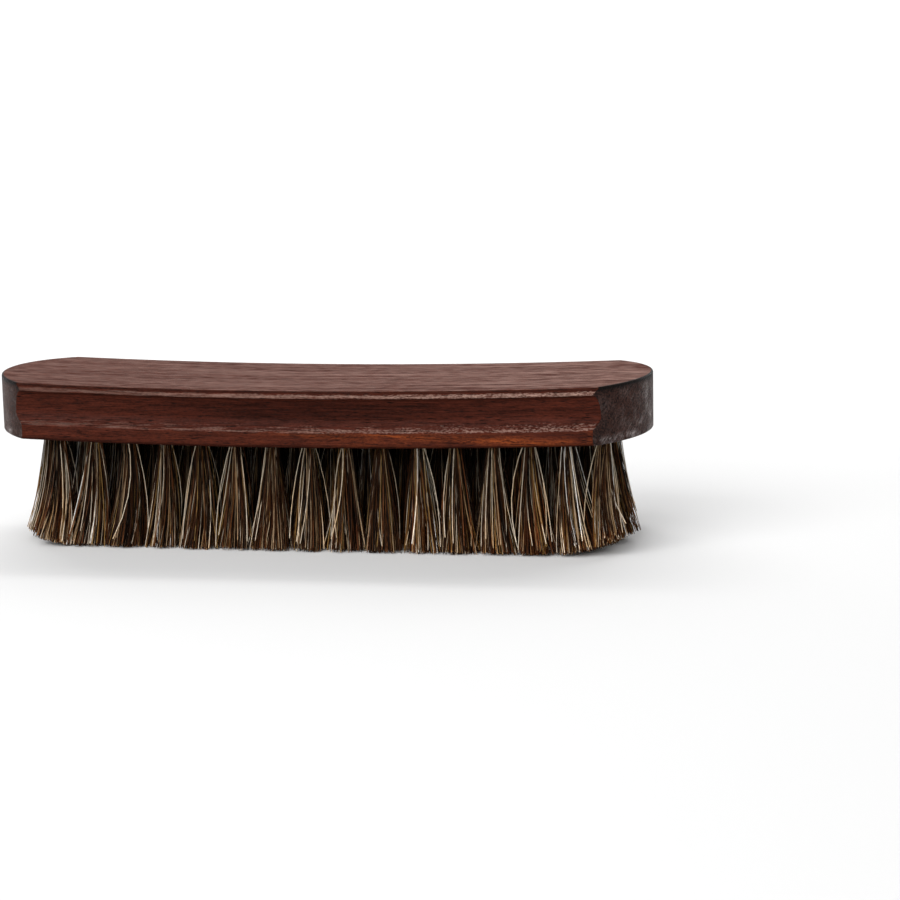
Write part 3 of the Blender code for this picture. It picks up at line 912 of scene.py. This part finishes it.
    # each hair is a short line, laid from its root to its tip
    line = add("GeometryNodeCurvePrimitiveLine")
    count = add("ShaderNodeMath", {0: given["Segments"], 1: 1.0}, operation="ADD")
    line = add("GeometryNodeResampleCurve", {"Curve": line, "Count": count})
    stood = add("GeometryNodeInstanceOnPoints", {"Points": hairs, "Instance": line})
    curves = add("GeometryNodeRealizeInstances", {"Geometry": stood})
    share = add("GeometryNodeSplineParameter").outputs["Factor"]
    span = {"From Min": given["Lit From"], "From Max": given["Lit To"]}
    lit = add("ShaderNodeMapRange", {"Value": share, **span})
    shade = add("ShaderNodeMix", {"Factor": kept["hairDepth"], "A": 1.0, "B": lit})
    for name, value in (("hairAlong", share), ("hairShade", shade)):
        curves = add(
            "GeometryNodeStoreNamedAttribute",
            {"Geometry": curves, "Name": name, "Value": value},
            data_type="FLOAT",
            domain="POINT",
        )
    share = kept["hairAlong"]
    # a tuft fans out evenly from its hole, but leans only further down
    straight = add(
        "ShaderNodeMix", {"Factor": share, "A": kept["rootAt"], "B": kept["tipAt"]}, data_type="VECTOR"
    )
    late = add("ShaderNodeMath", {0: share, 1: given["Lean Lag"]}, operation="POWER")
    late = add("ShaderNodeMath", {0: late, 1: share}, operation="SUBTRACT")
    leant = add("ShaderNodeVectorMath", {0: kept["leanBy"], 1: late, 2: straight}, operation="MULTIPLY_ADD")
    left = add("ShaderNodeMath", {0: 1.0, 1: share}, operation="SUBTRACT")
    bow = add("ShaderNodeMath", {0: share, 1: left}, operation="MULTIPLY")
    bow = add("ShaderNodeMath", {0: bow, 1: 4.0}, operation="MULTIPLY")  # 1 in the middle
    bent = add("ShaderNodeVectorMath", {0: kept["bendBy"], 1: bow, 2: leant}, operation="MULTIPLY_ADD")
    curves = add("GeometryNodeSetPosition", {"Geometry": curves, "Position": bent})

    size = add("ShaderNodeMath", {0: kept["hairSize"], 1: given["Hair Radius"]}, operation="MULTIPLY")
    taper = add("ShaderNodeMapRange", {"Value": share, "To Min": 1.0, "To Max": given["Tip Size"]})
    size = add("ShaderNodeMath", {0: size, 1: taper}, operation="MULTIPLY")
    profile = add("GeometryNodeCurvePrimitiveCircle", {"Resolution": given["Hair Sides"], "Radius": 1.0})
    tubes = add(
        "GeometryNodeCurveToMesh",
        {"Curve": curves, "Profile Curve": profile, "Scale": size, "Fill Caps": True},
    )
    smooth = add("GeometryNodeSetShadeSmooth", {"Geometry": tubes})
    whole = add("GeometryNodeRealizeInstances", {"Geometry": smooth})
    dressed = add("GeometryNodeSetMaterial", {"Geometry": whole, "Material": given["Material"]})
    add("NodeGroupOutput", {0: dressed})
    return tree


rowSeed = 100


def growRow(row, name, tree, material):
    mesh = bpy.data.meshes.new(name)
    mesh.from_pydata(tuftPlaces(row), [], [])
    piece = newObject(name, mesh)
    grower = piece.modifiers.new("hairTuftRow", "NODES")
    grower.node_group = tree
    values = {spacedName(name): value for name, value in hairShape.items()}
    values.update({"Half Length": halfLength, "Seed": rowSeed * (row + 1), "Material": material})
    for socket in tree.interface.items_tree:
        if socket.name in values:
            grower[socket.identifier] = values[socket.name]
    settleModifiers(piece)
    for spare in ("rootAt", "tipAt", "leanBy", "bendBy", "hairSize", "hairDepth", "tuftAt", "tuftNumber"):
        if spare in piece.data.attributes:
            piece.data.attributes.remove(piece.data.attributes[spare])
    return piece


hairMaterial = horsehair()
rowTree = hairTree()
rowNames = ("front", "second", "middle", "fourth", "back")
for row, rowName in enumerate(rowNames):
    piece = growRow(row, rowName + "HairRow", rowTree, hairMaterial)
    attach(piece, "root")
    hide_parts(*[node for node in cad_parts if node.startswith(rowName + "_")])
    print(piece.name, "grown:", sum(len(face.vertices) - 2 for face in piece.data.polygons), "triangles")


# Floor, lights and camera

studio = {
    "paper": "e2e2e2",
    "paperRoughness": 0.95,
    "sweepStart": 1.0,  # where the floor begins to curve up, behind the brush
    "sweepRadius": 0.2,
    "sweepSteps": 16,
    "wallTop": 0.24,
    "halfSpan": 3.0,
    "skyStrength": 0.23,
    "skySeen": 1.0,  # the same sky as the camera sees it
    "lights": {
        # place, aimed at, width, height, watts
        "backSoftbox": ((-0.05, 0.88, 0.66), (0.0, 0.0, 0.03), 1.8, 1.2, 11.2),
        "frontSoftbox": ((-0.44, -1.02, 0.75), (0.0, 0.0, 0.03), 1.25, 0.85, 16.2),
        # the next one only softens the brush's shadow on the floor in front
        "overheadSoftbox": ((-0.10, -0.36, 1.15), (0.0, 0.0, 0.03), 0.9, 0.5, 3.4),
        "backdropLight": ((0.0, 0.9, 1.2), (0.0, 1.5, 0.0), 2.4, 0.4, 16.0),
    },
}

cameraView = {
    "aim": (0.0, 0.0, 0.03425),
    "distance": 0.650,
    "azimuth": 10.9,
    "elevation": 10.05,
    "roll": -1.175,
    "offset": (-0.03273, 0.01184),  # where the aim stands in the frame, right and up
    "lens": 100.07,
    "sensor": 36.0,
}


def makeStage():
    # a paper sweep: flat floor, then a wide curve up behind
    bm = bmesh.new()
    start, radius, span = studio["sweepStart"], studio["sweepRadius"], studio["halfSpan"]
    line = [(-span, 0.0)] + arcPoints(start, radius, radius, -90, 0, studio["sweepSteps"])
    line.append((start + radius, studio["wallTop"]))
    rows = [[bm.verts.new((x, y, z)) for x in (-span, span)] for y, z in line]
    for lower, upper in zip(rows, rows[1:]):
        bm.faces.new((lower[0], lower[1], upper[1], upper[0]))
    mesh = bpy.data.meshes.new("paperSweep")
    bm.to_mesh(mesh)
    bm.free()
    mesh.shade_smooth()
    made, tree, shader = newMaterial("mattPaper")
    shader.inputs["Base Color"].default_value = srgb(studio["paper"])
    shader.inputs["Roughness"].default_value = studio["paperRoughness"]
    mesh.materials.append(made)
    sweep = newObject("paperSweep", mesh)
    sweep.visible_glossy = False  # it would lay a grey veil on the lacquer
    return sweep


def makeLights():
    world = bpy.data.worlds.new("softSky")
    world.use_nodes = True
    tree = world.node_tree
    sky = tree.nodes["Background"]
    sky.inputs["Color"].default_value = (1, 1, 1, 1)
    add = partial(addNode, tree)
    seen = add("ShaderNodeLightPath").outputs["Is Camera Ray"]
    strength = add(
        "ShaderNodeMapRange", {"Value": seen, "To Min": studio["skyStrength"], "To Max": studio["skySeen"]}
    )
    tree.links.new(strength.outputs[0], sky.inputs["Strength"])
    bpy.context.scene.world = world
    for name, (place, target, width, height, watts) in studio["lights"].items():
        lamp = bpy.data.lights.new(name, "AREA")
        lamp.shape = "RECTANGLE"
        lamp.size, lamp.size_y, lamp.energy = width, height, watts
        holder = newObject(name, lamp)
        holder.location = place
        holder.visible_glossy = name == "frontSoftbox"  # the only one mirrored in the lacquer
        holder.rotation_euler = (Vector(target) - Vector(place)).to_track_quat("-Z", "Y").to_euler()


def makeCamera():
    c = cameraView
    a, e, r = (math.radians(c[name]) for name in ("azimuth", "elevation", "roll"))
    forward = Vector((-math.sin(a) * math.cos(e), math.cos(a) * math.cos(e), -math.sin(e)))
    level = Vector((math.cos(a), math.sin(a), 0))
    upright = level.cross(forward)
    right = level * math.cos(r) + upright * math.sin(r)
    up = upright * math.cos(r) - level * math.sin(r)
    turned = Matrix((right, up, -forward)).transposed().to_4x4()
    camera = newObject("camera", bpy.data.cameras.new("camera"))
    place = Vector(c["aim"]) - right * c["offset"][0] - up * c["offset"][1] - forward * c["distance"]
    camera.matrix_world = Matrix.Translation(place) @ turned
    camera.data.lens = c["lens"]
    camera.data.sensor_width = c["sensor"]
    bpy.context.scene.camera = camera


makeStage()
makeLights()
makeCamera()
bpy.context.scene.view_settings.view_transform = "Standard"
print("stage, lights and camera set")
